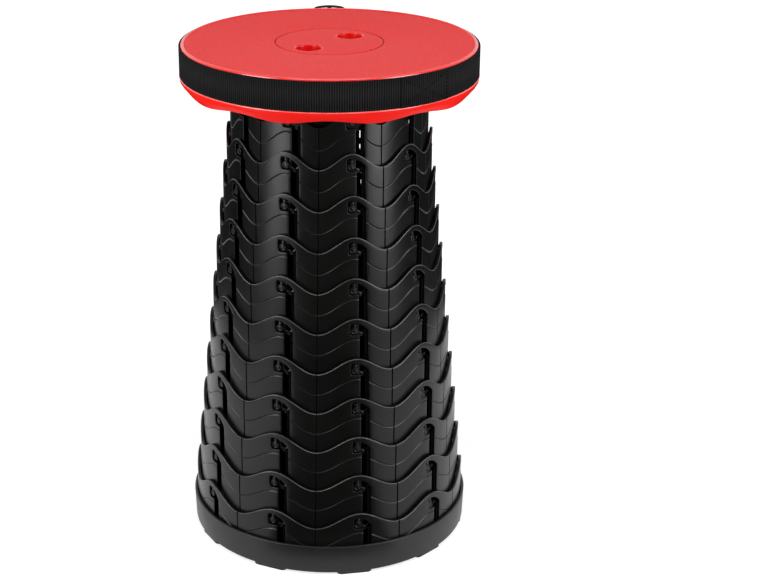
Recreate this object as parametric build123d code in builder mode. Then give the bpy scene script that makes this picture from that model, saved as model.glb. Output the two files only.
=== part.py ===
from build123d import *

import os
from math import cos, pi, radians, sin

os.makedirs("parts", exist_ok=True)

# A telescoping stool: eleven nested rings rise out of a round base tray and carry a round seat.
# Millimetres, +Z up, origin on the floor at the middle of the base. The photographed front faces -Y.

# Nested rings, counted from the top ring down
tier_count = 11
wave_count = 10           # crests, hooked slots and lugs round each ring
wave_sides = 5            # flat sides of a ring under each wave
wave_steps = 8            # straight steps along each wave
crest_bearing = -113.85   # degrees from +X to one column of crests
top_ring_radius = 85.25   # to the middle of a flat side
ring_wall = 2.5
ring_gap = 1.17           # between the walls of neighbouring rings
ring_height = 52.8        # bottom edge to crest
wave_height = 13.8        # crest to trough of the top edge

# Bayonet lock: the lugs of one ring hang in the hooked slots of the next ring out
lug_width = 6.4
lug_top_width = 3.6
lug_drop = 3.2            # lug below its centre
lug_rise = 6.0            # lug above its centre
lug_lift = 6.4            # lug centre above its ring's bottom edge
lug_bite = 1.3            # how far the lug reaches into the next wall
lock_drop = 11.4          # pocket centre below the crest
lock_clearance = 0.4
pocket_side = -0.8        # pocket centre sideways from the crest
slot_start = 3.9          # slot edge sideways from the crest
slot_width = 7.7
arch_drop = 4.2           # top of the pocket below the crest
shoulder_side = 5.9       # bend of the pocket's roof sideways from the crest
shoulder_drop = 6.4

# Base tray
foot_height = 2.0
foot_width = 12.0
foot_length = 31.0
foot_circle = 115.0
floor_thickness = 3.0
tray_clearance = 0.63     # between the lowest ring and the rims round it
tray_wall = 2.4
tray_height = 25.8
tray_taper = 1.0
tray_bevel = 1.2

# Seat
fold_step = 0.5           # each ring above the next one out when the stool is pushed flat
fold_clearance = 1.0      # skirt to tray rim when flat
collar_height = 52.7
plate_thickness = 2.6
lip_height = 0.7
lip_width = 4.8
lip_bevel = 1.5
rim_wall = 3.4
skirt_flare = 2.0
skirt_wall = 1.7
skirt_bend = 1.0          # bend half way down the skirt, inwards from its ledge
skirt_arch = 3.2          # rise of the arches along the skirt's lower edge
skirt_arch_angle = 28.0
skirt_arch_top = 0.4      # level part of an arch, as a share of its span
skirt_turn = 5.3          # skirt tongues, degrees round from the crests

# Centre cap with two finger cups
cap_radius = 46.0
cap_thickness = 2.4
cap_gap = 0.2
cap_ledge = 3.0
cap_ledge_depth = 2.4
cup_radius = 12.0
cup_spread = 54.6
cup_bearing = 50.3
cup_depth = 15.0
cup_wall = 1.6
cup_bevel = 1.4

# Webbing strap round the seat
strap_width = 25.0
strap_thickness = 1.6
strap_clearance = 0.05
overlap_start = -63.4     # degrees from +X, where the sewn double part begins
overlap_angle = 21.5
slider_bearing = 90.0
slider_length = 27.0
slider_height = 29.0
slider_thickness = 3.4
slider_bar = 4.0
slider_rail = 1.9
slider_round = 2.0
slider_gap = 0.2

trim = 1.0                # how far a cutting shape runs past the wall it cuts

# Worked-out places
wave_pitch = 360 / wave_count
ring_sides = wave_count * wave_sides
ring_turn = crest_bearing + 180 / ring_sides
tier_rise = ring_height - lock_drop - lug_lift
fold_travel = tier_rise - fold_step
floor_top = foot_height + floor_thickness
rim_top = foot_height + tray_height
plate_bottom = floor_top + tier_count * tier_rise + collar_height
plate_top = plate_bottom + plate_thickness
seat_top = plate_top + lip_height
skirt_low = rim_top + fold_clearance + tier_count * fold_travel
slot_end = slot_start + slot_width
pocket_left = pocket_side - lug_width / 2 - lock_clearance
pocket_floor = lock_drop + lug_drop + lock_clearance
channel_depth = lug_bite + lock_clearance
lug_root = (ring_wall - channel_depth) / 2


def tier_radius(tier):
    return top_ring_radius + (tier - 1) * (ring_wall + ring_gap)


def tier_bottom(tier):
    return floor_top + (tier_count - tier) * tier_rise


tray_inside = tier_radius(tier_count) + tray_clearance
tray_radius = tray_inside + tray_wall
rim_radius = tray_inside + rim_wall
ledge_radius = rim_radius + skirt_flare
strap_inside = rim_radius + strap_clearance
strap_outside = strap_inside + strap_thickness
strap_top = seat_top - lip_bevel
strap_middle = strap_top - strap_width / 2
ledge_top = strap_top - strap_width - strap_clearance


def outward_plane(bearing, reach, height):
    # An upright plane facing away from the axis
    outward = Vector(cos(radians(bearing)), sin(radians(bearing)), 0)
    sideways = Vector(-sin(radians(bearing)), cos(radians(bearing)), 0)
    return Plane(origin=outward * reach + Vector(0, 0, height), x_dir=sideways, z_dir=outward)


def lobe_planes(reach, height, turn=0.0):
    # One outward plane on each crest, or turned some degrees from it
    return [outward_plane(crest_bearing + turn + lobe * wave_pitch, reach, height) for lobe in range(wave_count)]


def wave_outline(half_wave):
    # One wave of a ring's top edge from crest to crest, a cosine in straight steps, closed above it
    points = []
    for step in range(wave_steps + 1):
        along = 2 * step / wave_steps - 1
        points.append((half_wave * along, -wave_height * (1 + cos(pi * along)) / 2))
    far = half_wave + trim
    with BuildLine() as outline:
        Polyline(*points, (far, 0), (far, 2 * trim), (-far, 2 * trim), (-far, 0), close=True)
    return outline.edges()


def hook_outline():
    # A slot open at the ring's bottom, with a pocket to its left under a bent roof, drawn from the crest down
    below = ring_height + trim
    with BuildLine() as outline:
        Polyline(
            (slot_start, -below),
            (slot_start, -pocket_floor),
            (pocket_left, -pocket_floor),
            (pocket_left, -arch_drop),
            (shoulder_side, -shoulder_drop),
            (slot_end, -lock_drop),
            (slot_end, -below),
            close=True,
        )
    return outline.edges()


def lug_outline():
    # A lug that narrows upwards, drawn from its ring's bottom edge up
    low = lug_lift - lug_drop
    high = lug_lift + lug_rise
    with BuildLine() as outline:
        Polyline(
            (pocket_side - lug_width / 2, low),
            (pocket_side + lug_width / 2, low),
            (pocket_side + lug_top_width / 2, high),
            (pocket_side - lug_top_width / 2, high),
            close=True,
        )
    return outline.edges()


def arch_outline():
    # A shallow arch between two tongues of the seat's skirt, in three straight steps
    half_span = ledge_radius * sin(radians(skirt_arch_angle / 2))
    half_top = half_span * skirt_arch_top
    with BuildLine() as outline:
        Polyline(
            (-half_span, -trim),
            (half_span, -trim),
            (half_top, skirt_arch),
            (-half_top, skirt_arch),
            close=True,
        )
    return outline.edges()


# The rings: each hangs by its lugs in the slots of the next one out, and the lowest stands in the tray
for tier in range(1, tier_count + 1):
    radius = tier_radius(tier)
    inside = radius - ring_wall
    bottom = tier_bottom(tier)
    crest = bottom + ring_height
    half_turn = radians(wave_pitch / 2)
    with BuildPart() as ring:
        with BuildSketch(Plane.XY.offset(bottom)):
            RegularPolygon(radius, ring_sides, major_radius=False, rotation=ring_turn)
            RegularPolygon(inside, ring_sides, major_radius=False, rotation=ring_turn, mode=Mode.SUBTRACT)
        extrude(amount=ring_height + trim)
        reach = inside * cos(half_turn) - 2 * trim
        with BuildSketch(*lobe_planes(reach, crest, wave_pitch / 2)):
            make_face(wave_outline(radius * sin(half_turn)))
        extrude(amount=radius - reach + trim, mode=Mode.SUBTRACT)
        reach = inside - 2 * trim
        with BuildSketch(*lobe_planes(reach, crest)):
            make_face(hook_outline())
        extrude(amount=radius - reach + trim, mode=Mode.SUBTRACT)
        # Inside the wall the slot is as wide as the pocket, so that the lug can slide down
        with BuildSketch(*lobe_planes(reach, crest)):
            with Locations((pocket_left, -lock_drop)):
                Rectangle(slot_start + trim - pocket_left, ring_height, align=(Align.MIN, Align.MAX))
        extrude(amount=inside - reach + channel_depth, mode=Mode.SUBTRACT)
        if tier < tier_count:
            with BuildSketch(*lobe_planes(radius - lug_root, bottom)):
                make_face(lug_outline())
            extrude(amount=lug_root + ring_gap + lug_bite)
    name = f"tier_ring_{tier:02d}"
    ring.part.label = name
    export_step(ring.part, f"parts/{name}.step")

# The collar under the seat, which hangs in the top ring like one more ring
collar_radius = tier_radius(0)
with BuildPart() as seat_collar:
    with BuildSketch(Plane.XY.offset(tier_bottom(0))):
        RegularPolygon(collar_radius, ring_sides, major_radius=False, rotation=ring_turn)
        RegularPolygon(
            collar_radius - ring_wall, ring_sides, major_radius=False, rotation=ring_turn, mode=Mode.SUBTRACT
        )
    extrude(amount=collar_height)
    with BuildSketch(*lobe_planes(collar_radius - lug_root, tier_bottom(0))):
        make_face(lug_outline())
    extrude(amount=lug_root + ring_gap + lug_bite)
seat_collar.part.label = "seat_collar"
export_step(seat_collar.part, "parts/seat_collar.step")

# The base tray, a dish with one foot pad under each crest
with BuildPart() as base_tray:
    with BuildSketch(Plane.XZ):
        with BuildLine():
            Polyline(
                (0, foot_height),
                (tray_radius - tray_taper - tray_bevel, foot_height),
                (tray_radius - tray_taper, foot_height + tray_bevel),
                (tray_radius, rim_top),
                (tray_inside, rim_top),
                (tray_inside, floor_top),
                (0, floor_top),
                close=True,
            )
        make_face()
    revolve(axis=Axis.Z)
    with BuildSketch(Plane.XY):
        with PolarLocations(foot_circle, wave_count, start_angle=crest_bearing):
            Rectangle(foot_width, foot_length)
    extrude(amount=foot_height)
base_tray.part.label = "base_tray"
export_step(base_tray.part, "parts/base_tray.step")

# The seat: a plate with a raised lip, a rim for the strap and a flared skirt with arches along its edge
lip_inside = rim_radius - lip_width
cap_hole = cap_radius + cap_gap
ledge_inside = cap_hole - cap_ledge
cap_seat = plate_top - cap_ledge_depth
cap_ledge_bottom = cap_seat - plate_thickness
with BuildPart() as seat_shell:
    with BuildSketch(Plane.XZ):
        with BuildLine():
            Polyline(
                (rim_radius, ledge_top),
                (rim_radius, seat_top - lip_bevel),
                (rim_radius - lip_bevel, seat_top),
                (lip_inside, seat_top),
                (lip_inside, plate_top),
                (cap_hole, plate_top),
                (cap_hole, cap_seat),
                (ledge_inside, cap_seat),
                (ledge_inside, cap_ledge_bottom),
                (cap_hole + cap_ledge, cap_ledge_bottom),
                (cap_hole + cap_ledge, plate_bottom),
                (tray_inside, plate_bottom),
                (tray_inside, skirt_low),
                (tray_inside + skirt_wall, skirt_low),
                (ledge_radius - skirt_bend, (skirt_low + ledge_top) / 2),
                (ledge_radius, ledge_top),
                close=True,
            )
        make_face()
    revolve(axis=Axis.Z)
    reach = tray_inside * cos(radians(skirt_arch_angle / 2)) - 2 * trim
    with BuildSketch(*lobe_planes(reach, skirt_low, skirt_turn + wave_pitch / 2)):
        make_face(arch_outline())
    extrude(amount=ledge_radius - reach + trim, mode=Mode.SUBTRACT)
seat_shell.part.label = "seat_shell"
export_step(seat_shell.part, "parts/seat_shell.step")

# The cap in the middle of the seat, with two finger cups sunk through it
with BuildPart() as centre_cap:
    with BuildSketch(Plane.XY.offset(plate_top)):
        Circle(cap_radius)
    extrude(amount=-cap_thickness)
    with BuildSketch(Plane.XY.offset(plate_top)):
        with PolarLocations(cup_spread / 2, 2, start_angle=cup_bearing):
            Circle(cup_radius + cup_wall)
    extrude(amount=-cup_depth - cup_wall)
    with BuildSketch(Plane.XY.offset(plate_top)):
        with PolarLocations(cup_spread / 2, 2, start_angle=cup_bearing):
            Circle(cup_radius)
    extrude(amount=-cup_depth, mode=Mode.SUBTRACT)
    mouths = centre_cap.faces().sort_by(Axis.Z)[-1].inner_wires()
    chamfer([mouth.edge() for mouth in mouths], cup_bevel)
centre_cap.part.label = "centre_cap"
export_step(centre_cap.part, "parts/centre_cap.step")

# The webbing strap, drawn tight round the rim and sewn double over a short stretch
with BuildPart() as strap_band:
    with BuildSketch(Plane.XZ):
        with Locations((strap_inside + strap_thickness / 2, strap_middle)):
            Rectangle(strap_thickness, strap_width)
    revolve(axis=Axis.Z)
    with BuildSketch(Plane.XZ.rotated((0, 0, overlap_start))):
        with Locations((strap_outside + strap_thickness / 2, strap_middle)):
            Rectangle(strap_thickness, strap_width)
    revolve(axis=Axis.Z, revolution_arc=overlap_angle)
strap_band.part.label = "strap_band"
export_step(strap_band.part, "parts/strap_band.step")

# The slider on the strap at the back, a frame with three bars
slider_window = (slider_length - 3 * slider_bar) / 2
slider_reach = max(strap_outside, ledge_radius) + slider_gap
with BuildPart() as strap_slider:
    with BuildSketch(outward_plane(slider_bearing, slider_reach, strap_middle)):
        RectangleRounded(slider_length, slider_height, slider_round)
        with GridLocations(slider_window + slider_bar, 0, 2, 1):
            Rectangle(slider_window, slider_height - 2 * slider_rail, mode=Mode.SUBTRACT)
    extrude(amount=slider_thickness)
strap_slider.part.label = "strap_slider"
export_step(strap_slider.part, "parts/strap_slider.step")
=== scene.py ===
import math

import bpy
import numpy as np
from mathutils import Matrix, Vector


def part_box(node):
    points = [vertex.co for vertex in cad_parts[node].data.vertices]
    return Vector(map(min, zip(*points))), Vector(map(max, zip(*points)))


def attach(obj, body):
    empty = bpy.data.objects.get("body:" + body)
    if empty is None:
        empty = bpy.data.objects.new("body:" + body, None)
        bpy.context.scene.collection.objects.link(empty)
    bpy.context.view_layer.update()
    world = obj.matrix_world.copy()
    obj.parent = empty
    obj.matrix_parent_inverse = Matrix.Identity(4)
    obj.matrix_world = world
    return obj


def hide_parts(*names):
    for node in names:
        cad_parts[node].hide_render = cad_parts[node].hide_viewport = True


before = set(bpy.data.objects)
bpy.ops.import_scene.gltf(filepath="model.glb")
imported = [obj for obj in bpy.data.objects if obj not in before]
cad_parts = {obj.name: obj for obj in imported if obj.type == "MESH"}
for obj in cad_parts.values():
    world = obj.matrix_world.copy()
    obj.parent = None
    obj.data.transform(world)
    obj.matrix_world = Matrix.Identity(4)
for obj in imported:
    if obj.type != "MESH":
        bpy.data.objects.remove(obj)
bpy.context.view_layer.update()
mm = 0.001   # pieces are worked out in millimetres and written in metres
closeBy = 1e-6   # a length below this, in millimetres, counts as nothing
weldShift = 3.7e-5   # keeps round numbers off the halfway points of np.round
sharpAngle = 40   # degrees between two faces from which their edge is shaded sharp
print("frame loaded:", len(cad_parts), "solids")


# shapes

def quarter(steps):
    # angles spread evenly over a quarter turn
    return np.linspace(0, np.pi / 2, steps)


def fullTurn(steps):
    # angles spread evenly over a whole turn
    return np.linspace(0, 2 * np.pi, steps, endpoint=False)


def stacked(*ways):
    # coordinates or numbers spread to one shape and set side by side
    return np.stack(np.broadcast_arrays(*ways), -1)


def gridQuads(rows, cols, closeRows=False, closeCols=False):
    # quads between neighbours of a grid numbered row by row;
    # they face outwards when columns run anticlockwise and rows run up
    row = np.arange(rows if closeRows else rows - 1)[:, None]
    col = np.arange(cols if closeCols else cols - 1)[None, :]
    here, above, beside = row * cols, (row + 1) % rows * cols, (col + 1) % cols
    return stacked(here + col, here + beside, above + beside, above + col).reshape(-1, 4)


def fan(edge, pole, flip=False):
    # triangles from each pair of neighbours on a closed edge to one pole
    after = np.roll(edge, -1)
    sides = (after, edge) if flip else (edge, after)
    return stacked(*sides, pole)


def roundedPath(corners, radii, steps, closed=True):
    # each corner becomes an arc tangent to its two sides;
    # the arc's centre is on the bisector, at radius / sin(half the angle)
    c = np.array(corners, float)
    r = np.broadcast_to(np.asarray(radii, float), len(c))[:, None]
    a = np.roll(c, 1, axis=0) - c
    b = np.roll(c, -1, axis=0) - c
    a /= np.linalg.norm(a, axis=1, keepdims=True)
    b /= np.linalg.norm(b, axis=1, keepdims=True)
    half = np.arccos(np.clip((a * b).sum(1, keepdims=True), -0.9999, 0.9999)) / 2   # never quite straight
    bisector = a + b
    bisector /= np.maximum(np.linalg.norm(bisector, axis=1, keepdims=True), closeBy)
    centre = c + bisector * r / np.sin(half)
    start = c + a * r / np.tan(half) - centre
    end = c + b * r / np.tan(half) - centre
    sweep = (np.pi - 2 * half)[:, :, None]
    s = np.linspace(0, 1, steps)[None, :, None]
    arc = (np.sin((1 - s) * sweep) * start[:, None] + np.sin(s * sweep) * end[:, None]) / np.sin(sweep)
    if not closed:
        arc[0], arc[-1] = c[0] - centre[0], c[-1] - centre[-1]
    path = (centre[:, None] + arc).reshape(-1, 2)
    step = np.linalg.norm(path - np.roll(path, 1, axis=0), axis=1)
    if not closed:
        step[0] = 1   # an open path keeps its first point
    return path[step > closeBy]


def lathe(profile, count, closed=False):
    # a profile of (radius, height) carried round the axis, up the outside and in over the top;
    # radius 0 is a pole
    p = np.asarray(profile, float)
    turn = fullTurn(count)
    low, high = p[0, 0] < closeBy, p[-1, 0] < closeBy
    rings = p[int(low):len(p) - int(high)]
    radius, height = rings[:, :1], rings[:, 1:]
    grid = stacked(radius * np.cos(turn), radius * np.sin(turn), height)
    points, faces = [grid.reshape(-1, 3)], [gridQuads(len(rings), count, closed, True)]
    total = len(rings) * count
    if low:
        points.append([[0, 0, p[0, 1]]])
        faces.append(fan(np.arange(count), total, flip=True))
        total += 1
    if high:
        points.append([[0, 0, p[-1, 1]]])
        faces.append(fan(np.arange(count) + (len(rings) - 1) * count, total))
    return np.concatenate(points), faces


def sweepClosed(sections):
    # sections (stations, ring points, 3) joined into a tube whose two ends close on their middles
    stations, count = sections.shape[:2]
    points = np.concatenate([sections.reshape(-1, 3), [sections[0].mean(0), sections[-1].mean(0)]])
    last = stations * count
    ends = [fan(np.arange(count), last, flip=True), fan(np.arange(count) + last - count, last + 1)]
    return points, [gridQuads(stations, count, False, True)] + ends


def joined(parts):
    # several (points, faces) as one, face numbers moved on by the points before them
    starts = np.cumsum([0] + [len(p) for p, f in parts[:-1]])
    faces = [np.asarray(f) + s for (p, fs), s in zip(parts, starts) for f in fs]
    return np.concatenate([p for p, f in parts]), faces


def copies(points, faces, bearings, reach, height):
    # local (sideways, up, outward) points set on outward planes, one copy for each bearing in degrees
    b = np.radians(bearings)[:, None]
    side, up, out = points[:, 0], points[:, 1], points[:, 2] + reach
    placed = stacked(out * np.cos(b) - side * np.sin(b), out * np.sin(b) + side * np.cos(b), height + up)
    starts = (np.arange(len(placed)) * len(points))[:, None, None]
    return placed.reshape(-1, 3), [(f[None] + starts).reshape(-1, f.shape[1]) for f in faces]


def welded(points, decimals):
    # points that agree once rounded are one: the first of each, and the new number of every point
    _, first, same = np.unique(np.round(points + weldShift, decimals), axis=0, return_index=True,
                               return_inverse=True)
    return first, same.ravel()


def faceCount(faces):
    # how many faces a list of face arrays holds
    return sum(len(f) for f in faces)


def newObject(name, data):
    # an object made of some data and put into the scene
    made = bpy.data.objects.new(name, data)
    bpy.context.scene.collection.objects.link(made)
    return made


def makePiece(name, points, faces, materials, body, replaced=(), uv=None, materialIndex=None):
    # arrays go straight into a mesh; the piece sits at the origin, in metres, and rides on a body
    mesh = bpy.data.meshes.new(name)
    loops = np.concatenate([f.ravel() for f in faces]).astype(np.int32)
    sizes = np.concatenate([np.full(len(f), f.shape[1]) for f in faces])
    mesh.vertices.add(len(points))
    mesh.vertices.foreach_set("co", (np.asarray(points) * mm).astype(np.float32).ravel())
    mesh.loops.add(len(loops))
    mesh.loops.foreach_set("vertex_index", loops)
    mesh.polygons.add(len(sizes))
    mesh.polygons.foreach_set("loop_start", (np.cumsum(sizes) - sizes).astype(np.int32))
    if materialIndex is not None:
        mesh.polygons.foreach_set("material_index", np.asarray(materialIndex, np.int32))
    if uv is not None:
        uv = np.concatenate([uv, np.zeros((len(loops) - len(uv), 2))])   # a tape's ends have none
        mesh.uv_layers.new(name="along").data.foreach_set("uv", uv.astype(np.float32).ravel())
    mesh.update(calc_edges=True)
    mesh.polygons.foreach_set("use_smooth", np.ones(len(sizes), bool))
    mesh.set_sharp_from_angle(angle=math.radians(sharpAngle))
    for material in materials:
        mesh.materials.append(material)
    piece = newObject(name, mesh)
    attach(piece, body)
    if replaced:
        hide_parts(*replaced)
    return piece


# finishes

def nodeTree(name):
    # a new material with its nodes, its links and its shader
    material = bpy.data.materials.new(name)
    material.use_nodes = True
    nodes, links = material.node_tree.nodes, material.node_tree.links
    return material, nodes, links, nodes["Principled BSDF"]


def objectPlace(nodes):
    # where a point lies on the piece, in metres
    return nodes.new("ShaderNodeTexCoord").outputs["Object"]


def noiseAt(nodes, links, place, scale, detail=3.0):
    # noise with spots about one over the scale across
    noise = nodes.new("ShaderNodeTexNoise")
    noise.inputs["Scale"].default_value = scale
    noise.inputs["Detail"].default_value = detail
    links.new(place, noise.inputs["Vector"])
    return noise.outputs["Fac"]


def rampFrom(nodes, links, value, dark, light, low=0.3, high=0.7):
    # dark at the low value, light at the high one and straight between; most noise lies from 0.3 to 0.7
    ramp = nodes.new("ShaderNodeValToRGB")
    first, second = ramp.color_ramp.elements
    first.position, second.position = low, high
    first.color, second.color = (*dark, 1), (*light, 1)
    links.new(value, ramp.inputs["Fac"])
    return ramp.outputs["Color"]


def rangeFrom(nodes, links, value, low, high, fromLow=0.3, fromHigh=0.7):
    # the span of a value stretched straight on to another span
    span = nodes.new("ShaderNodeMapRange")
    sockets = ("From Min", "From Max", "To Min", "To Max")
    for socket, number in zip(sockets, (fromLow, fromHigh, low, high)):
        span.inputs[socket].default_value = number
    links.new(value, span.inputs["Value"])
    return span.outputs["Result"]


def mathAt(nodes, links, operation, *values):
    # one step of arithmetic on numbers and on other nodes' outputs
    step = nodes.new("ShaderNodeMath")
    step.operation = operation
    for socket, value in zip(step.inputs, values):
        if isinstance(value, (int, float)):
            socket.default_value = value
        else:
            links.new(value, socket)
    return step.outputs[0]


def liftFrom(nodes, links, height, strength, distance, shader):
    # a bump that follows a height
    bump = nodes.new("ShaderNodeBump")
    bump.inputs["Strength"].default_value = strength
    bump.inputs["Distance"].default_value = distance
    links.new(height, bump.inputs["Height"])
    links.new(bump.outputs["Normal"], shader.inputs["Normal"])


moulding = {"driftScale": 14, "glossScale": 60, "glossDetail": 4, "grainScale": 1500, "grainDetail": 2,
            "grain": 0.10, "grainHeight": 0.0002}
# gloss for the painted highlights: paler grey in place of the light that the rings' rounded edges catch
paintedHighlight = {"driftScale": 45, "glossScale": 80, "roughness": (0.3, 0.38), "grain": 0.05, "grainHeight": 0.0001,
          "specular": 0.4}
finishes = {   # each plastic, where it differs from the moulding's own values
    "ringPlastic": {"dark": (0.0024, 0.0024, 0.0022), "light": (0.0044, 0.0044, 0.0041),
                    "roughness": (0.28, 0.34), "specular": 0.27},
    # painted highlight: paler grey on the rings' rounded top edges and, weaker, on the grooves' lower lips
    "paintedEdgeHighlight": {"dark": (0.036, 0.036, 0.035), "light": (0.115, 0.115, 0.112), **paintedHighlight},
    "paintedGrooveHighlight": {"dark": (0.010, 0.010, 0.0095), "light": (0.030, 0.030, 0.029), **paintedHighlight},
    # painted shade: darker and without gloss in seams, on slot and pocket walls, on the rings' insides and
    # inside the tray
    "paintedShadeInside": {"dark": (0.002, 0.002, 0.002), "light": (0.0035, 0.0035, 0.0034),
                   "roughness": (0.6, 0.75), "specular": 0.0},
    "basePlastic": {"dark": (0.006, 0.006, 0.006), "light": (0.010, 0.010, 0.010),
                    "roughness": (0.38, 0.46), "grain": 0.12, "specular": 0.34},
    "seatRed": {"dark": (0.74, 0.010, 0.007), "light": (0.80, 0.014, 0.010), "driftScale": 10,
                "glossScale": 40, "roughness": (0.28, 0.36), "grain": 0.04, "specular": 0.08},
    "lipRed": {"dark": (0.80, 0.010, 0.007), "light": (0.86, 0.014, 0.010), "driftScale": 10,
               "glossScale": 40, "roughness": (0.16, 0.22), "grain": 0.03, "specular": 1.0},
    # painted highlight: paler red on the ledge's round edge under the strap
    "paintedRedHighlight": {"dark": (0.82, 0.05, 0.045), "light": (0.90, 0.16, 0.15), "driftScale": 60,
                   "glossScale": 80, "roughness": (0.2, 0.3), "grain": 0.05, "specular": 0.8},
    "seatGrain": {"dark": (0.72, 0.012, 0.011), "light": (0.84, 0.020, 0.018), "driftScale": 900,
                  "glossScale": 700, "roughness": (0.42, 0.56), "grainScale": 1150, "grainDetail": 3,
                  "grain": 0.85, "grainHeight": 0.00035, "specular": 0.13},
    "cupRed": {"dark": (0.70, 0.002, 0.002), "light": (0.78, 0.004, 0.003), "driftScale": 20,
               "roughness": (0.24, 0.3), "grainScale": 900, "grain": 0.03, "grainHeight": 0.0001,
               "specular": 0.42},
    "sliderPlastic": {"dark": (0.008, 0.008, 0.008), "light": (0.013, 0.013, 0.013), "driftScale": 40,
                      "glossScale": 90, "roughness": (0.3, 0.4), "grain": 0.08, "specular": 0.3},
    "threadBlack": {"dark": (0.0005, 0.0005, 0.0005), "light": (0.0015, 0.0015, 0.0015), "driftScale": 900,
                    "glossScale": 900, "roughness": (0.6, 0.8), "grainScale": 3000, "grain": 0.4,
                    "grainHeight": 0.0001, "specular": 0.05},
}


def mouldedPlastic(name, s):
    # colour drifts slowly over the moulding, gloss drifts a little faster, and a fine grain lifts the surface
    material, nodes, links, shader = nodeTree(name)
    place = objectPlace(nodes)
    drift = noiseAt(nodes, links, place, s["driftScale"])
    links.new(rampFrom(nodes, links, drift, s["dark"], s["light"]), shader.inputs["Base Color"])
    gloss = noiseAt(nodes, links, place, s["glossScale"], s["glossDetail"])
    links.new(rangeFrom(nodes, links, gloss, *s["roughness"]), shader.inputs["Roughness"])
    grain = noiseAt(nodes, links, place, s["grainScale"], s["grainDetail"])
    liftFrom(nodes, links, grain, s["grain"], s["grainHeight"], shader)
    shader.inputs["Specular IOR Level"].default_value = s["specular"]
    return material


plastic = {name: mouldedPlastic(name, moulding | s) for name, s in finishes.items()}

weave = {"ribPitch": 0.002, "yarnPitch": 0.0031, "yarnShare": 0.25, "fuzzScale": 1400, "fuzzShare": 0.5,
         "dark": (0.002, 0.002, 0.0022), "light": (0.0175, 0.0175, 0.0185), "span": (-1, 1.4),
         "tones": (0.1, 0.9), "roughness": (0.6, 0.8), "lift": 0.8, "liftHeight": 0.0003, "sheen": 0.003,
         "specular": 0.03}


def webbingMaterial(name, s):
    # ribs across the tape from a sine along u, yarn crossings from a second sine across v, fuzz from noise
    material, nodes, links, shader = nodeTree(name)
    uvNode, split = nodes.new("ShaderNodeUVMap"), nodes.new("ShaderNodeSeparateXYZ")
    uvNode.uv_map = "along"
    links.new(uvNode.outputs["UV"], split.inputs["Vector"])
    turns = [mathAt(nodes, links, "MULTIPLY", split.outputs[way], 2 * math.pi / s[pitch])
             for way, pitch in (("X", "ribPitch"), ("Y", "yarnPitch"))]
    ribs, yarn = [mathAt(nodes, links, "SINE", turn) for turn in turns]
    fuzz = noiseAt(nodes, links, objectPlace(nodes), s["fuzzScale"])
    woven = mathAt(nodes, links, "MULTIPLY_ADD", yarn, s["yarnShare"], ribs)
    height = mathAt(nodes, links, "MULTIPLY_ADD", fuzz, s["fuzzShare"], woven)
    # the tape's colour follows that same height: painted shade in the hollows between ribs and yarns, a paler
    # painted highlight on their tops
    tone = rangeFrom(nodes, links, height, 0, 1, *s["span"])
    links.new(rampFrom(nodes, links, tone, s["dark"], s["light"], *s["tones"]), shader.inputs["Base Color"])
    links.new(rangeFrom(nodes, links, fuzz, *s["roughness"]), shader.inputs["Roughness"])
    liftFrom(nodes, links, height, s["lift"], s["liftHeight"], shader)
    shader.inputs["Sheen Weight"].default_value = s["sheen"]
    shader.inputs["Specular IOR Level"].default_value = s["specular"]
    return material


webbing = webbingMaterial("webbing", weave)
print("finishes made:", len(plastic) + 1)


# rings

ring = {
    "tiers": 11, "lobes": 10, "crestBearing": -113.85, "topRadius": 85.25, "radiusStep": 3.67, "wall": 2.5,
    "height": 52.8, "waveHeight": 13.8, "edgeRound": 0.5, "grooveDrop": 18.5, "grooveHalf": 0.75,
    "grooveDepth": 0.5, "seamHalf": 0.65, "seamDepth": 0.9, "seamShade": 0.66,
    "guard": 0.3,   # rows and columns this far beside a groove keep its shading to itself
    "slotStart": 3.9, "slotEnd": 11.6, "slotFoot": -2.0, "pocketLeft": -4.4, "pocketFloor": 15.0,
    "floorRound": 2.5, "roofDrop": 4.2, "roofRound": 1.8, "roofStart": -2.6, "roofBend": 0.01267,
    "roofPower": 2.41, "reliefLeft": 0.8, "reliefLap": 0.3, "sideRow": 36.0, "thirds": (0.33, 0.67, 1),
    "plateSteps": 8, "plainRim": 1.0,
}
ring["lobeBearings"] = ring["crestBearing"] + 360 / ring["lobes"] * np.arange(ring["lobes"])
edgeSteps = ring["edgeRound"] * (1 - np.cos(quarter(5)))   # distances from an edge over its round
edgeBack = edgeSteps[-2::-1]   # and back to the edge
grooveSteps = np.linspace(-1, 1, 7)   # across a groove or a seam
# the second and fourth finishes are painted highlights, the third is painted shade
ringFinishes = ("ringPlastic", "paintedEdgeHighlight", "paintedShadeInside", "paintedGrooveHighlight")
plainFace, edgeHighlightFace, paintedShadeFace, grooveHighlightFace = range(4)   # their places in that list


def waveTop(x, radius):
    # top edge: crest height less half the wave height times (1 - cosine of ten times the angle)
    return ring["height"] - ring["waveHeight"] / 2 * (1 - np.cos(ring["lobes"] * x / radius))


def pocketRoof(x):
    # a quarter circle from the pocket's side, then a curve that drops with a power of the distance
    r = ring["roofRound"]
    past = np.clip(x - ring["roofStart"], 0, None)
    back = np.clip(ring["roofStart"] - x, 0, r)
    drop = ring["roofDrop"] + ring["roofBend"] * past ** ring["roofPower"]
    return ring["height"] - drop - (r - np.sqrt(r ** 2 - back ** 2))


def pocketFloor(x):
    # level, with a quarter circle up to the pocket's left side
    r = ring["floorRound"]
    back = np.clip(ring["pocketLeft"] + r - x, 0, r)
    return ring["height"] - ring["pocketFloor"] + r - np.sqrt(r ** 2 - back ** 2)


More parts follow.
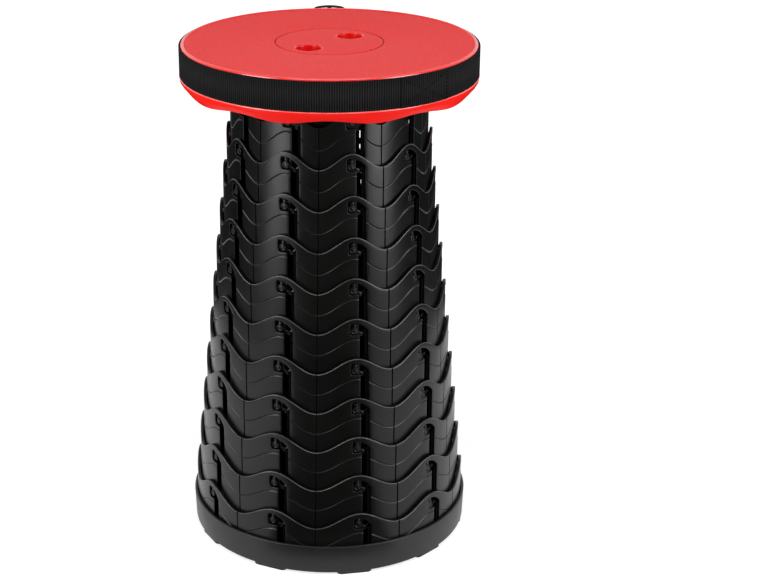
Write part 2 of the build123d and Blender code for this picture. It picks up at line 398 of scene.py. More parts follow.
def hookOutline():
    # the slot's left side, the pocket's floor, its left side, its roof and the slot's right side
    start, end, foot = ring["slotStart"], ring["slotEnd"], ring["slotFoot"]
    floorX = np.append(start, ring["pocketLeft"] + ring["floorRound"] * (1 - np.sin(quarter(8))))
    roofX = np.append(ring["roofStart"] - ring["roofRound"] * np.cos(quarter(7)),
                      np.linspace(ring["roofStart"], end, 16)[1:])
    return np.concatenate([[[start, foot]], stacked(floorX, pocketFloor(floorX)),
                           stacked(roofX, pocketRoof(roofX)), [[end, foot]]])


def distanceTo(outline, x, z):
    # distance from each grid point to the nearest straight piece of the outline
    p = stacked(x.ravel(), z.ravel())[:, None]
    a, b = outline[None, :-1], outline[None, 1:]
    t = np.clip(((p - a) * (b - a)).sum(-1) / np.maximum(((b - a) ** 2).sum(-1), closeBy ** 2), 0, 1)
    return np.linalg.norm(p - a - t[..., None] * (b - a), axis=-1).min(1).reshape(x.shape)


def rounding(distance):
    # depth of a quarter-round edge at a distance from it
    r = ring["edgeRound"]
    return r - np.sqrt(np.clip(r ** 2 - (r - np.clip(distance, 0, r)) ** 2, 0, None))


def dip(across, depth):
    # a groove of half a cosine wave, deepest in the middle and level at its sides
    return depth * (1 + np.cos(np.pi * np.clip(across, -1, 1))) / 2


def rowsBetween(low, high, shares):
    # rows at given shares of the way from a low row to a high one
    return low[None] + (high - low)[None] * np.asarray(shares)[:, None]


def lowerRows(x, radius, floor):
    # rows from the foot's round up to the groove, over the groove and on to the round under a floor
    groove, half, r = waveTop(x, radius) - ring["grooveDrop"], ring["grooveHalf"], ring["edgeRound"]
    low, aside = 0 * x, half + ring["guard"]
    return np.concatenate([low[None] + edgeSteps[:, None],
                           rowsBetween(low + r, groove - aside, ring["thirds"]),
                           groove[None] + half * grooveSteps[:, None],
                           rowsBetween(groove + aside, floor - r, (0, 0.5, 1)),
                           floor[None] - edgeBack[:, None]])


def upperRows(x, radius, roof):
    # rows from the round over a roof up to the wave's round, which is spaced square to the wave
    top, r = waveTop(x, radius), ring["edgeRound"]
    lean = np.hypot(1, np.gradient(top, x))
    return np.concatenate([roof[None] + edgeSteps[:, None],
                           rowsBetween(roof + r, top - r * lean, ring["thirds"]),
                           top[None] - edgeBack[:, None] * lean[None]])


def ringWall(radius, outline):
    # three patches of the unrolled wall: the plate from a slot to the next pocket, the part under the pocket
    # and the bridge over it; each is a grid of x along the wall and z up it, set in from the round wall by
    # the deepest of its edges and grooves
    pitch = 2 * np.pi * radius / ring["lobes"]
    left, start, end, r = ring["pocketLeft"], ring["slotStart"], ring["slotEnd"], ring["edgeRound"]
    far, trough, seam, guard = pitch + left, pitch / 2, ring["seamHalf"], ring["guard"]
    steps = ring["plateSteps"]
    plateX = np.concatenate([end + edgeSteps, np.linspace(end + r, trough - seam - guard, steps)[1:],
                             trough + seam * grooveSteps,
                             np.linspace(trough + seam + guard, far - r, steps), far - edgeBack])
    corner = left + ring["floorRound"] * (1 - np.sin(np.linspace(np.pi / 2, 0, 6)))
    underX = np.concatenate([corner, np.linspace(corner[-1], start - r, 4)[1:], start - edgeBack])
    bridgeX = np.append(ring["roofStart"] - ring["roofRound"] * np.cos(quarter(6)),
                        np.linspace(ring["roofStart"], end, 15)[1:])
    # the plate's sill and lintel lie under the wave by drops that change evenly from one end to the other
    share = (plateX - end) / (far - end)
    drops = [(waveTop(end, radius) - low, waveTop(far, radius) - high) for low, high in (
        (ring["sideRow"], pocketFloor(left)), (pocketRoof(end), pocketRoof(left)))]
    sill, lintel = [waveTop(plateX, radius) - (a + (b - a) * share) for a, b in drops]
    plateRows = [lowerRows(plateX, radius, sill), rowsBetween(sill, lintel, (0.25, 0.5, 0.75)),
                 upperRows(plateX, radius, lintel)]
    underRows = lowerRows(underX, radius, pocketFloor(underX))
    patches = [(plateX, np.concatenate(plateRows), len(plateRows[0])), (underX, underRows, len(underRows)),
               (bridgeX, upperRows(bridgeX, radius, pocketRoof(bridgeX)), 0)]
    points, inner, faces, finish, count = [], [], [], [], 0
    bearings = np.radians(ring["lobeBearings"])[:, None, None]
    for x, z, lowerCount in patches:
        x = np.broadcast_to(x[None], z.shape)
        top = waveTop(x, radius)
        steep = ring["waveHeight"] / 2 * ring["lobes"] / radius * np.sin(ring["lobes"] * x / radius)
        hook = np.minimum(distanceTo(outline, x, z), distanceTo(outline, x - pitch, z))
        depth = np.maximum.reduce([
            rounding(hook), rounding((top - z) / np.hypot(1, steep)), rounding(z),
            dip((z - top + ring["grooveDrop"]) / ring["grooveHalf"], ring["grooveDepth"]),
            dip((x - trough) / seam, ring["seamDepth"])])
        row = np.arange(len(z))[:, None]
        # the wall is thinner where a lug slides down behind it
        thin = (row < lowerCount) & ((x - pitch > left - ring["reliefLap"]) | (x <= start))
        back = np.where(thin, ring["reliefLeft"], ring["wall"])
        angle = bearings + (x / radius)[None]
        for group, reach in ((points, radius - depth), (inner, radius - back)):
            grid = stacked(reach * np.cos(angle), reach * np.sin(angle), z)
            group.append(grid.reshape(-1, 3))
        starts = (count + np.arange(ring["lobes"]) * z.size)[:, None, None]
        faces.append((gridQuads(*z.shape)[None] + starts).reshape(-1, 4))
        count += ring["lobes"] * z.size
        # the rounded top edge gets a painted highlight, the groove's lower lip a weaker painted highlight,
        # and the seam's bottom painted shade
        row, middle = row[:-1], (x[0, 1:] + x[0, :-1])[None] / 2
        onEdge = (row >= len(z) - len(edgeSteps)) & (lowerCount < len(z))
        onLip = (row == len(edgeSteps) + len(ring["thirds"])) & (lowerCount > 0)
        inSeam = np.abs(middle - trough) < seam * ring["seamShade"]
        grade = np.select([inSeam, onLip, onEdge], [paintedShadeFace, grooveHighlightFace, edgeHighlightFace], plainFace)
        finish.append(np.tile(grade.ravel(), ring["lobes"]))
    points, inner, faces = np.concatenate(points), np.concatenate(inner), np.concatenate(faces)
    # the patches share their border points; the wall then gets its inside, and a rim along its open edges
    first, same = welded(points, 4)
    faces, total = same[faces], len(first)
    sides = stacked(faces, np.roll(faces, -1, axis=1)).reshape(-1, 2)
    single = ~np.isin(sides[:, 0] * total + sides[:, 1], sides[:, 1] * total + sides[:, 0])
    a, b = sides[single].T
    rim = stacked(b, a, a + total, b + total)
    # the rim is plain along the wave and painted in shade, darker and without gloss, where it is the wall of
    # a slot or a pocket
    x, y, z = points[first][a].T
    top = waveTop(radius * (np.arctan2(y, x) - math.radians(ring["crestBearing"])), radius)
    rimFinish = np.where(z < top - ring["plainRim"], paintedShadeFace, plainFace)
    # the wall's inside is painted in shade too
    index = np.concatenate(finish + [np.full(len(faces), paintedShadeFace), rimFinish])
    return np.concatenate([points[first], inner[first]]), [faces, faces[:, ::-1] + total, rim], index


lug = {   # a rivet-like disc with a sunk ring and a small knob above it; (radius, height) from the wall
    "side": -0.8, "up": 6.4, "knobSide": 0.45, "knobUp": 4.4, "columns": 28,
    "disc": [(0, -0.55), (3.2, -0.55), (3.2, 1.95), (3.05, 2.28), (2.75, 2.45), (2.4, 2.45), (2.15, 2.2),
             (1.9, 2.0), (1.55, 2.0), (1.35, 2.15), (0.9, 2.2), (0, 2.1)],
    "knob": [(0, -0.55), (1.75, -0.55), (1.75, 1.6), (1.6, 2.0), (1.2, 2.3), (0.6, 2.43), (0, 2.45)],
}


def lugs(radius):
    # disc and knob are lathes about an outward axis, with a copy under each crest
    parts = []
    for profile, side, up in (("disc", 0, 0), ("knob", lug["knobSide"], lug["knobUp"])):
        points, faces = lathe(lug[profile], lug["columns"])
        points = points + [lug["side"] + side, lug["up"] + up, 0]
        parts.append(copies(points, faces, ring["lobeBearings"], radius, 0))
    return joined(parts)


stop = {   # a low bar across the slot's foot, a stop on its right side and a rebate behind that side
    "x": 10.0,   # along the wall from the crest, where their own x is 0
    "outlines": ([(-6.3, 0.15), (-1.5, 0.15), (-1.5, 2.9), (-6.3, 4.9)],
                 [(-2.6, 0.15), (1.9, 0.15), (1.9, 5.6), (-0.9, 5.6), (-2.6, 4.0)]),
    "round": 0.35, "depths": (-2.3, -0.65, -0.3, -0.15), "drawIn": (0, 0, 0.05, 0.15),
    "rebate": [(-1.4, -3.35), (1.8, -3.35), (1.8, -1.4), (-1.4, -1.4)], "rebateRound": 0.3,
    "rebateHeights": (0.4, 38.5),
}


def stops(radius):
    # bar and stop are outlines at several depths, drawn in at the front;
    # the rebate is its section at two heights
    pieces = []
    for corners in stop["outlines"]:
        edge = roundedPath(corners, stop["round"], 3)
        middle = edge.mean(0)
        drawn = middle + (edge - middle) * (1 - np.array(stop["drawIn"])[:, None, None])
        pieces.append(sweepClosed(stacked(drawn[..., 0], drawn[..., 1], np.array(stop["depths"])[:, None])))
    strip = roundedPath(stop["rebate"], stop["rebateRound"], 3)[::-1]
    heights = np.array(stop["rebateHeights"])[:, None]
    pieces.append(sweepClosed(stacked(strip[:, 0], heights, strip[:, 1])))
    bearings = ring["lobeBearings"] + math.degrees(stop["x"] / radius)
    points, faces = joined([copies(*piece, bearings, radius, 0) for piece in pieces])
    # the rebate is painted in shade
    shaded = faceCount(pieces[-1][1]) * ring["lobes"]
    index = np.concatenate([np.full(faceCount(faces) - shaded, plainFace), np.full(shaded, paintedShadeFace)])
    return points, faces, index


outline = hookOutline()
for tier in range(1, ring["tiers"] + 1):
    node = f"tier_ring_{tier:02d}"
    radius = ring["topRadius"] + (tier - 1) * ring["radiusStep"]
    *wall, wallIndex = ringWall(radius, outline)
    *bars, barIndex = stops(radius)
    parts = [wall, bars]
    if tier < ring["tiers"]:
        parts.append(lugs(radius))
    points, faces = joined(parts)
    points = points + [0, 0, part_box(node)[0].z / mm]
    index = np.full(faceCount(faces), plainFace)
    index[:len(wallIndex) + len(barIndex)] = np.concatenate([wallIndex, barIndex])
    if tier == 1:
        index[index == edgeHighlightFace] = plainFace   # its edge is in the seat's shade, so it gets no painted highlight
    body = "base" if tier == ring["tiers"] else f"tier_{tier:02d}"
    makePiece(f"ring{tier:02d}", points, faces, [plastic[name] for name in ringFinishes], body,
              [node], materialIndex=index)
print("rings made:", ring["tiers"])

collar = {"radius": 81.58, "wall": 2.5, "bottom": 390.0, "top": 442.7, "rounds": (0.8, 0.1, 0.1, 0.6),
          "columns": 200}
outer, inner = collar["radius"], collar["radius"] - collar["wall"]
low, high = collar["bottom"], collar["top"]
profile = roundedPath([(outer, low), (outer, high), (inner, high), (inner, low)], collar["rounds"], 4)
hanging, hangingFaces = lugs(collar["radius"])
points, faces = joined([lathe(profile, collar["columns"], closed=True),
                        (hanging + [0, 0, low], hangingFaces)])
makePiece("collar", points, faces, [plastic["ringPlastic"]], "seat", ["seat_collar"])

# base

tray = {"bottom": 2.0, "floor": 5.0, "rim": 27.8, "inside": 122.58, "outside": 124.98, "taper": 1.0,
        "rounds": (0, 1.2, 0.8, 0.5, 1.5, 0), "columns": 240, "insideSlack": 0.01, "insideFrom": 1.0,
        "padSize": (12.0, 31.0), "padCircle": 117.4, "padRound": 4.0, "padTurn": -1.7,
        "padLayers": ((0.0, 0.7), (0.12, 0.35), (0.45, 0.05), (0.7, 0), (2.6, 0))}   # height, inset
corners = [(0, tray["bottom"]), (tray["outside"] - tray["taper"], tray["bottom"]),
           (tray["outside"], tray["rim"]), (tray["inside"], tray["rim"]), (tray["inside"], tray["floor"]),
           (0, tray["floor"])]
profile = roundedPath(corners, tray["rounds"], 6, closed=False)
# a pad is a rounded oblong at several heights, drawn in towards the ground
padX, padY = tray["padSize"][1] / 2, tray["padSize"][0] / 2
edge = roundedPath([(-padX, -padY), (padX, -padY), (padX, padY), (-padX, padY)], tray["padRound"], 6)
height, inset = np.array(tray["padLayers"]).T[:, :, None]
layers = stacked(edge[:, 0] * (1 - inset / padX), height, edge[:, 1] * (1 - inset / padY))
pad, padFaces = sweepClosed(layers)
pads = copies(pad, [f[:, ::-1] for f in padFaces], ring["lobeBearings"] + tray["padTurn"],
              tray["padCircle"], 0)
points, faces = joined([lathe(profile, tray["columns"]), pads])
# the inner wall, the tray's floor and the fan in its middle are painted in shade: darker and without gloss
across, up = ((profile[1:-2] + profile[2:-1]) / 2).T
inside = (across < tray["inside"] + tray["insideSlack"]) & (up > tray["bottom"] + tray["insideFrom"])
index = np.zeros(faceCount(faces))
shaded = np.repeat(np.concatenate([inside, [False, True]]), tray["columns"])
index[:len(shaded)] = shaded
makePiece("baseTray", points, faces, [plastic["basePlastic"], plastic["paintedShadeInside"]], "base",
          ["base_tray"], materialIndex=index)
print("base made")

# seat

seat = {"rim": 125.98, "ledge": 127.98, "ledgeTop": 419.45, "top": 446.0, "lip": 2.3, "lipSlope": 0.7,
        "lipEnd": 0.5, "plateTop": 445.3, "plateSlack": 0.01, "plateBottom": 442.7, "inside": 122.58,
        "low": 408.3, "skirtWall": 1.7, "bulge": 1.0, "arch": 3.2, "archDrop": 0.9, "tongueBearing": -108.55,
        "highlightFrom": 0.1, "capHole": 46.5, "ledgeInside": 43.2, "capSeat": 442.9, "capLedge": 440.3,
        "capWall": 3.0, "columns": 400}
seatFinishes = ("seatRed", "seatGrain", "lipRed", "paintedRedHighlight")
lipIn, capOut = seat["rim"] - seat["lip"], seat["capHole"] + seat["capWall"]
corners = np.array([   # radius, height and rounding, from the skirt's foot up the outside and in over the top
    (seat["inside"], seat["low"], 0.4), (seat["inside"] + seat["skirtWall"], seat["low"], 0.7),
    (seat["ledge"] - seat["bulge"], (seat["low"] + seat["ledgeTop"]) / 2, 5.0),
    (seat["ledge"], seat["ledgeTop"], 0.8), (seat["rim"], seat["ledgeTop"], 0.2),
    (seat["rim"], seat["top"], 2.1), (lipIn, seat["top"], 0.3),
    (lipIn - seat["lipSlope"], seat["plateTop"], 0.3), (seat["capHole"], seat["plateTop"], 0.25),
    (seat["capHole"], seat["capSeat"], 0.1), (seat["ledgeInside"], seat["capSeat"], 0.2),
    (seat["ledgeInside"], seat["capLedge"], 0.2), (capOut, seat["capLedge"], 0.2),
    (capOut, seat["plateBottom"], 0.5), (seat["inside"], seat["plateBottom"], 1.0)])
profile = roundedPath(corners[:, :2], corners[:, 2], 6)
points, faces = lathe(profile, seat["columns"], closed=True)
# the skirt's lower edge: low at ten tongues and higher between them, a cosine of ten times the bearing
bearing = np.arctan2(points[:, 1], points[:, 0]) - math.radians(seat["tongueBearing"])
rise = seat["arch"] / 2 * (1 - np.cos(ring["lobes"] * bearing))
archTop = seat["ledgeTop"] - seat["archDrop"]
points[:, 2] += rise * np.clip((archTop - points[:, 2]) / (archTop - seat["low"]), 0, 1)
# the plate's top is grained, the lip polished, and the ledge's round edge under the strap gets a painted
# highlight in paler red
across, up = ((profile + np.roll(profile, -1, axis=0)) / 2).T
plate = across < lipIn - seat["lipEnd"]
finish = np.select([plate & (up > seat["plateTop"] - seat["plateSlack"]), ~plate & (up > seat["plateBottom"]),
                    (across > seat["rim"] + seat["highlightFrom"]) & (up > archTop)], [1, 2, 3])
makePiece("seatShell", points, faces, [plastic[name] for name in seatFinishes], "seat",
          ["seat_shell"], materialIndex=np.repeat(finish, seat["columns"]))

cap = {"radius": 45.5, "top": 445.3, "round": 0.3, "side": 2.3, "wall": 1.6, "turns": 144, "lineTurns": 48,
       "rings": 12, "cupRadius": 10.8, "mouthRound": 1.4, "cupDepth": 15.0, "cupLean": 0.13, "footRound": 6.0,
       "wallRows": 4, "wallInset": 1.0, "floorRings": (4, 2), "floorDrops": (0.1, 0.2), "poleDrop": 0.25,
       "cupSpread": 54.6, "cupBearing": 50.3}


def capSurface():
    # each half of the disc is a grid round its cup: rays from the cup's mouth to the disc's edge or to the
    # middle line; the cup is a lathe with a rounded mouth and foot; the second half is the first, turned by
    # half a circle
    offset, mouth = cap["cupSpread"] / 2, cap["cupRadius"] + cap["mouthRound"]
    flat, r = cap["radius"] - cap["round"], cap["footRound"]
    neck, deep = cap["top"] - cap["mouthRound"], cap["top"] - cap["cupDepth"]
    meet = math.atan2(flat, -offset)
    turns = np.append(np.linspace(-meet, meet, cap["turns"], endpoint=False),
                      np.linspace(meet, 2 * np.pi - meet, cap["lineTurns"], endpoint=False))
    c, s, count = np.cos(turns), np.sin(turns), len(turns)
    toEdge = -offset * c + np.sqrt(flat ** 2 - (offset * s) ** 2)
    toLine = np.where(c < -closeBy, -offset / np.minimum(c, -closeBy), np.inf)
    ways = mouth + np.linspace(1, 0, cap["rings"])[:, None] * (np.minimum(toEdge, toLine) - mouth)[None]
    bend, foot = quarter(8)[1:], quarter(7)
    cupR = np.concatenate([mouth - cap["mouthRound"] * np.sin(bend), [cap["cupRadius"]] * cap["wallRows"],
                           cap["cupRadius"] - r * (1 - np.cos(foot)), cap["floorRings"]])
    cupZ = np.concatenate([cap["top"] - cap["mouthRound"] * (1 - np.cos(bend)),
                           np.linspace(neck - cap["wallInset"], deep + r + cap["wallInset"], cap["wallRows"]),
                           deep + r * (1 - np.sin(foot)), deep - np.array(cap["floorDrops"])])
    cupR -= cap["cupLean"] * np.clip(neck - cupZ, 0, None) * cupR / cap["cupRadius"]
    ways = np.concatenate([ways, np.repeat(cupR[:, None], count, 1)])
    heights = np.append(np.full(cap["rings"], cap["top"]), cupZ)
    grid = stacked(offset + ways * c, ways * s, heights[:, None])
    total = len(grid) * count
    points = np.concatenate([grid.reshape(-1, 3), [[offset, 0, deep - cap["poleDrop"]]]])
    faces = [gridQuads(len(grid), count, False, True), fan(np.arange(count) + total - count, total)]
    # the disc's round edge: a quarter circle from the flat top and a short side, all the way round
    rim = np.arange(count)[toEdge < toLine]
    ends = np.append(rim, rim[-1] + 1) % count
    around = np.arctan2(grid[0, ends, 1], grid[0, ends, 0])
    drop = quarter(5)
    rimR = np.append(flat + cap["round"] * np.sin(drop), cap["radius"])[::-1, None]
    rimZ = np.append(cap["top"] - cap["round"] * (1 - np.cos(drop)), cap["top"] - cap["side"])[::-1, None]
    edge = stacked(rimR * np.cos(around), rimR * np.sin(around), rimZ)
    half, halfFaces = joined([(points, faces), (edge.reshape(-1, 3), [gridQuads(*edge.shape[:2])])])
    # the cup is glossy: the rows past the flat ones, and the fan in its middle
    glossy = np.zeros(faceCount(halfFaces), bool)
    glossy[(cap["rings"] - 1) * count:len(grid) * count] = True
    a = math.radians(cap["cupBearing"])
    turned = [half @ np.array([[k * math.cos(a), k * math.sin(a), 0], [-k * math.sin(a), k * math.cos(a), 0],
                               [0, 0, 1]]) for k in (1, -1)]
    points, faces = joined([(side, halfFaces) for side in turned])
    first, same = welded(points, 3)
    return points[first], [same[f] for f in faces], np.tile(glossy, 2)


points, faces, index = capSurface()
capFinishes = [plastic["seatGrain"], plastic["cupRed"]]
capPiece = makePiece("centreCap", points, faces, capFinishes, "seat", ["centre_cap"],
                     materialIndex=index)
thick = capPiece.modifiers.new("wall", "SOLIDIFY")
thick.thickness, thick.offset, thick.use_even_offset = cap["wall"] * mm, -1, True
print("seat made")

# strap

strap = {"inside": 126.03, "thickness": 1.6, "low": 419.5, "high": 444.5, "round": 0.55, "roundShare": 0.4,
         "stations": 720, "ribPitch": 2.0, "girth": 0.0532, "overlapStart": -63.4, "overlapAngle": 21.5,
         "overlapThickness": 0.9, "overlapSink": 0.1, "overlapStations": 60, "seamIn": (1.5, 1.5, 4.2),
         "stitchPitch": 3.0, "stitchEnds": (1.8, 1.2), "crossStitches": 15, "stitchSize": (0.6, 0.7, 0.3),
         "stitchGrid": (10, 5), "stitchReach": 1.2, "flat": (0.025, 0.848)}
outside = strap["inside"] + strap["thickness"]


def tape(name, inside, thickness, bearings, closed, replaced=()):
    # a rounded flat section carried round the rim; u runs along the tape and v round the section, in metres
    outer, low, high = inside + thickness, strap["low"], strap["high"]
    edge = roundedPath([(outer, low), (outer, high), (inside, high), (inside, low)],
                       min(strap["round"], strap["roundShare"] * thickness), 4)[::-1]
    b = np.radians(bearings)[:, None]
    grid = stacked(edge[:, 0] * np.cos(b), edge[:, 0] * np.sin(b), edge[:, 1])
    stations, count = grid.shape[:2]
    if closed:
        points, faces = grid.reshape(-1, 3), [gridQuads(stations, count, True, True)]
    else:
        points, faces = sweepClosed(grid)
    i, j = np.arange(stations if closed else stations - 1)[:, None], np.arange(count)[None, :]
    length = outer * (2 * np.pi if closed else np.ptp(b))
    ribs = round(length / strap["ribPitch"])   # a whole number, so that the tape's ends meet
    du, dv = ribs * strap["ribPitch"] * mm / len(i), strap["girth"] / count
    u, v = i * du, j * dv
    corners = [(u, v), (u, v + dv), (u + du, v + dv), (u + du, v)]
    uv = np.stack([stacked(*c) for c in corners], 2).reshape(-1, 2)
    return makePiece(name, points, faces, [webbing], "seat", replaced, uv=uv)


band = tape("strapBand", strap["inside"], strap["thickness"],
            np.linspace(0, 360, strap["stations"], endpoint=False), True, ["strap_band"])
bearings = strap["overlapStart"] + np.linspace(0, strap["overlapAngle"], strap["overlapStations"])
overlap = tape("strapOverlap", outside - strap["overlapSink"],
               strap["overlapThickness"] + strap["overlapSink"], bearings, False)

# thread: small beads in rows across the tape near both ends of the double part, and crosswise between them
turn = fullTurn(strap["stitchGrid"][0])
lift = strap["stitchReach"] * np.linspace(-1, 1, strap["stitchGrid"][1])[:, None]
wide, tall, deep = strap["stitchSize"]
bead, beadFaces = sweepClosed(stacked(
    wide * np.cos(lift) * np.cos(turn), tall * np.cos(lift) * np.sin(turn), deep * np.sin(lift)))
reach = outside + strap["overlapThickness"]
low, high = strap["low"] + strap["stitchEnds"][0], strap["high"] - strap["stitchEnds"][1]
rows = np.arange(low, high, strap["stitchPitch"])
seams = strap["overlapStart"] + np.array([0, 1, 1]) * strap["overlapAngle"] \
    + np.degrees(np.array(strap["seamIn"]) / reach) * [1, -1, -1]
bearing, up = np.meshgrid(seams, rows)
crossing = np.linspace(seams[0], seams[2], strap["crossStitches"] + 2)[1:-1]
climb = np.linspace(rows[0], rows[-1], strap["crossStitches"] + 2)[1:-1]
bearing = np.concatenate([bearing.ravel(), crossing, crossing])
up = np.concatenate([up.ravel(), climb, climb[::-1]])
points, faces = copies(bead, beadFaces, bearing, reach, up[:, None])
stitches = makePiece("strapStitches", points, faces, [plastic["threadBlack"]], "seat")
print("strap made: stitches", len(up))

slider = {"bearing": 90.0, "reach": 128.2, "middle": 432.0, "size": (34.0, 29.0), "thickness": 3.4,
          "bar": 4.0, "barEnd": 1.0, "barThin": 0.85, "barStations": 4, "rail": 1.9, "round": 6.5,
          "innerRound": 1.0, "steps": 7, "sides": 16, "square": 0.6, "arch": 2.2, "sink": 1.5, "thin": 0.45,
          "bow": 0.1, "bowLevel": 0.6, "loopHalf": 9.6, "loopRise": 5.7, "loopPower": 0.75, "loopStart": -1.2,
          "loopWidth": 24.0, "loopThickness": 1.1, "loopStations": 33, "loopSides": 14, "loopStep": 0.0038}


def squareRing(count):
    # a circle pushed out towards a square: the sign of each coordinate times a power of its size
    turn = fullTurn(count)
    return [np.sign(w(turn)) * np.abs(w(turn)) ** slider["square"] for w in (np.cos, np.sin)]


def sliderFrame():
    # a squarish section between the frame's outer and inner outlines, and the same along the middle bar
    halfX, halfY = slider["size"][0] / 2, slider["size"][1] / 2
    box = np.array([(-1, -1), (1, -1), (1, 1), (-1, 1)])
    steps = slider["steps"]   # on each corner and, so that they can be bent, on each straight side
    between = np.arange(1, 5)[:, None] * steps - 1 + np.arange(1, steps + 1) / (steps + 1)
    places = np.sort(np.append(np.arange(4 * steps), between))
    outlines = []
    for sides, radius in (([halfX, halfY], slider["round"]),
                          ([halfX - slider["bar"], halfY - slider["rail"]], slider["innerRound"])):
        path = roundedPath(box * sides, radius, steps)
        path = np.append(path, path[:1], axis=0)
        outlines.append(stacked(*[np.interp(places, np.arange(len(path)), way) for way in path.T]))
    outer, inner = outlines
    c, s = squareRing(slider["sides"])
    across, deep = (outer - inner)[:, None] / 2, slider["thickness"] / 2
    flat = (outer + inner)[:, None] / 2 + across * c[:, None]
    tube = stacked(flat[..., 0], flat[..., 1], deep + deep * s)
    along = np.linspace(slider["barEnd"] - halfY, halfY - slider["barEnd"], slider["barStations"])[:, None]
    bar = stacked(slider["bar"] / 2 * c, along, deep + slider["barThin"] * deep * s)
    points, faces = joined([(tube.reshape(-1, 3), [gridQuads(*tube.shape[:2], True, True)]),
                            sweepClosed(bar[:, ::-1])])
    # thinner and lower towards its two sides, and arched outwards by a cosine across its width
    away = points[:, 0] / halfX
    swell = np.cos(np.pi * away / 2)
    points[:, 1] *= 1 + slider["bow"] * (swell - slider["bowLevel"])
    points[:, 2] = points[:, 2] * (1 - slider["thin"] * away ** 2) + slider["arch"] * swell - slider["sink"]
    return points, faces


points, faces = copies(*sliderFrame(), [slider["bearing"]], slider["reach"], slider["middle"])
makePiece("strapSlider", points, faces, [plastic["sliderPlastic"]], "seat",
          ["strap_slider"])

# the tape's end over the middle bar: a hump from a power of half a cosine wave, with a thin rounded section
along = np.linspace(-slider["loopHalf"], slider["loopHalf"], slider["loopStations"])
hump = ((1 + np.cos(np.pi * along / slider["loopHalf"])) / 2) ** slider["loopPower"]
rise = slider["loopStart"] + slider["loopRise"] * hump
lean = np.gradient(rise, along)
normal = stacked(-lean, 1) / np.hypot(1, lean)[:, None]
c, s = squareRing(slider["loopSides"])
sections = stacked(
    along[:, None] + normal[:, :1] * slider["loopThickness"] / 2 * s, slider["loopWidth"] / 2 * c,
    rise[:, None] + normal[:, 1:] * slider["loopThickness"] / 2 * s)
points, faces = sweepClosed(sections)
far = np.cumsum(np.hypot(np.gradient(along), np.gradient(rise)))[:, None] * mm
about = slider["loopStep"] * np.arange(slider["loopSides"])
uvGrid = stacked(far, about).reshape(-1, 2)
uv = uvGrid[faces[0]].reshape(-1, 2)
points, faces = copies(points, faces, [slider["bearing"]], slider["reach"], slider["middle"])
loop = makePiece("strapLoop", points, faces, [webbing], "seat", uv=uv)
print("slider made")

# stage, light and camera

stage = {"floorSize": 12.0, "floorNoise": 3, "floorTones": (0.50, 0.52), "floorLift": (0.68, 1.0, 0.2, 0.8),
         "roomLight": 0.5, "roomDepth": (0.08, 1.0, -0.5, 0.7), "mattRoughness": 0.9, "mattSpecular": 0.1,
         "table": 0.52, "dark": 3.0, "front": (0.15, 33), "cardNoise": 4, "cardTones": (0.01, 0.02),
         "cardHeight": 0.003, "cardLap": 0.005, "cardTurns": 72, "wedgeTurns": 13}


def mattMaterial(name, scale, tones):
    # a dull grey that drifts between two tones
    material, nodes, links, shader = nodeTree(name)
    tone = noiseAt(nodes, links, objectPlace(nodes), scale)
    dark, light = [(grey, grey, grey) for grey in tones]
    links.new(rampFrom(nodes, links, tone, dark, light), shader.inputs["Base Color"])
    shader.inputs["Roughness"].default_value = stage["mattRoughness"]
    shader.inputs["Specular IOR Level"].default_value = stage["mattSpecular"]
    return material, nodes, links, shader


def floorMaterial():
    # a pale floor; camera, glossy and transmission rays see it lifted to white, and it keeps the shadow
    material, nodes, links, shader = mattMaterial("paleFloor", stage["floorNoise"], stage["floorTones"])
    path, away = nodes.new("ShaderNodeLightPath").outputs, nodes.new("ShaderNodeVectorMath")
    away.operation = "LENGTH"
    links.new(objectPlace(nodes), away.inputs[0])
    lift = rangeFrom(nodes, links, away.outputs["Value"], *stage["floorLift"])   # more far from the stool
    seen = mathAt(nodes, links, "MAXIMUM", path["Is Camera Ray"], path["Is Transmission Ray"])
    seen = mathAt(nodes, links, "MAXIMUM", seen, path["Is Glossy Ray"])
    shader.inputs["Emission Color"].default_value = (1, 1, 1, 1)
    links.new(mathAt(nodes, links, "MULTIPLY", seen, lift), shader.inputs["Emission Strength"])
    return material


def flatThing(name, points, quads, material):
    # level quads for the stage, in metres
    mesh = bpy.data.meshes.new(name)
    mesh.from_pydata(points, [], quads)
    mesh.materials.append(material)
    return newObject(name, mesh)


half = stage["floorSize"] / 2
corners = [(-half, -half, 0), (half, -half, 0), (half, half, 0), (-half, half, 0)]
floor = flatThing("floor", corners, [(0, 1, 2, 3)], floorMaterial())

world = bpy.data.worlds.new("studio")
bpy.context.scene.world = world
world.use_nodes = True
nodes, links = world.node_tree.nodes, world.node_tree.links
background, path = nodes["Background"], nodes.new("ShaderNodeLightPath").outputs
coord, split = nodes.new("ShaderNodeTexCoord"), nodes.new("ShaderNodeSeparateXYZ")
room, shown = nodes.new("ShaderNodeMix"), nodes.new("ShaderNodeMix")
links.new(coord.outputs["Generated"], split.inputs["Vector"])
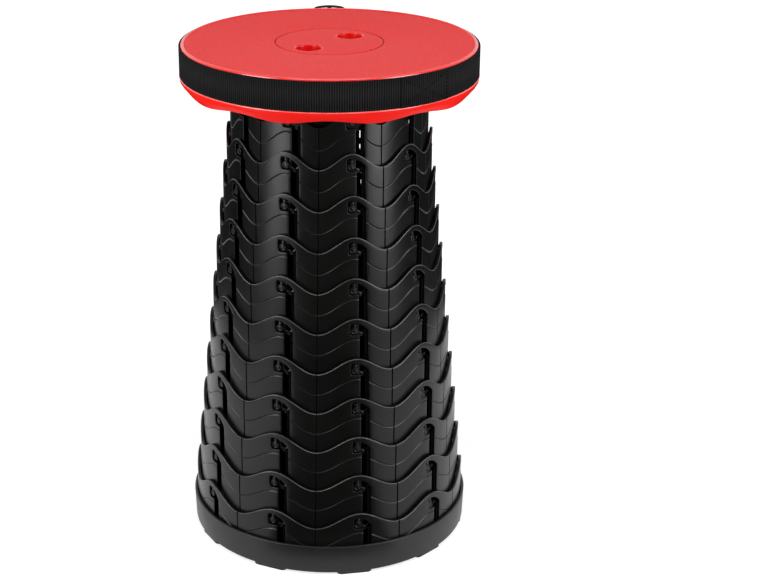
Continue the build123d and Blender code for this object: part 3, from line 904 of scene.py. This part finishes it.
# dark in front of the stool and white behind; diffuse light gets a share of the room
depth = rangeFrom(nodes, links, split.outputs["Y"], *stage["roomDepth"])
links.new(path["Is Glossy Ray"], room.inputs["Factor"])
links.new(mathAt(nodes, links, "MULTIPLY", depth, stage["roomLight"]), room.inputs["A"])
links.new(depth, room.inputs["B"])
seen = mathAt(nodes, links, "MAXIMUM", path["Is Camera Ray"], path["Is Transmission Ray"])
links.new(seen, shown.inputs["Factor"])
links.new(room.outputs["Result"], shown.inputs["A"])
shown.inputs["B"].default_value = 1.0
links.new(shown.outputs["Result"], background.inputs["Strength"])
background.inputs["Color"].default_value = (1, 1, 1, 1)

# the unlit studio past the table's edge and in front, seen in reflections alone: a dark ring and a dark wedge
turn = fullTurn(stage["cardTurns"])
wedge = np.radians(-90 + stage["front"][1] * np.linspace(-1, 1, stage["wedgeTurns"]))
arcs = [stacked(reach * np.cos(way), reach * np.sin(way), stage["cardHeight"])
        for way, reach in ((turn, stage["table"]), (turn, stage["dark"]), (wedge, stage["front"][0]),
                           (wedge, stage["table"] + stage["cardLap"]))]
quads = np.concatenate([gridQuads(2, len(turn), False, True), gridQuads(2, len(wedge)) + 2 * len(turn)])
card = flatThing("darkCard", np.concatenate(arcs).tolist(), quads[:, ::-1].tolist(),
                 mattMaterial("darkCard", stage["cardNoise"], stage["cardTones"])[0])
card.visible_camera = card.visible_diffuse = card.visible_shadow = card.visible_transmission = False

lamps = {   # place, aim, size across and up, power
    "softLeft": ((-0.72, -0.52, 0.58), (0, 0, 0.52), (0.36, 1.14), 9.0),
    "softRight": ((0.72, -0.52, 0.58), (0, 0, 0.52), (0.36, 1.14), 8.9),
    "topLight": ((0.0, -0.4, 1.9), (0, 0, 0.3), (1.1, 0.6), 8.8),
}
for name, (place, aim, size, power) in lamps.items():
    data = bpy.data.lights.new(name, "AREA")
    data.shape, data.energy = "RECTANGLE", power
    data.size, data.size_y = size
    lamp = newObject(name, data)
    lamp.visible_camera = False
    away = np.array(place) - np.array(aim)
    tilt = math.acos(away[2] / np.linalg.norm(away))
    lamp.location = place
    lamp.rotation_euler = (tilt, 0, math.atan2(away[1], away[0]) + math.pi / 2)

shot = {"place": (0, -1.47464, 0.80731), "pitch": 68.165, "sensor": 36.0, "lens": 82.006, "shift": 0.0777}
data = bpy.data.cameras.new("camera")
data.sensor_width, data.lens, data.shift_x = shot["sensor"], shot["lens"], shot["shift"]
camera = newObject("camera", data)
camera.location, camera.rotation_euler = shot["place"], (math.radians(shot["pitch"]), 0, 0)
bpy.context.scene.camera = camera
bpy.context.scene.view_settings.view_transform = "Standard"
print("stage, light and camera set")
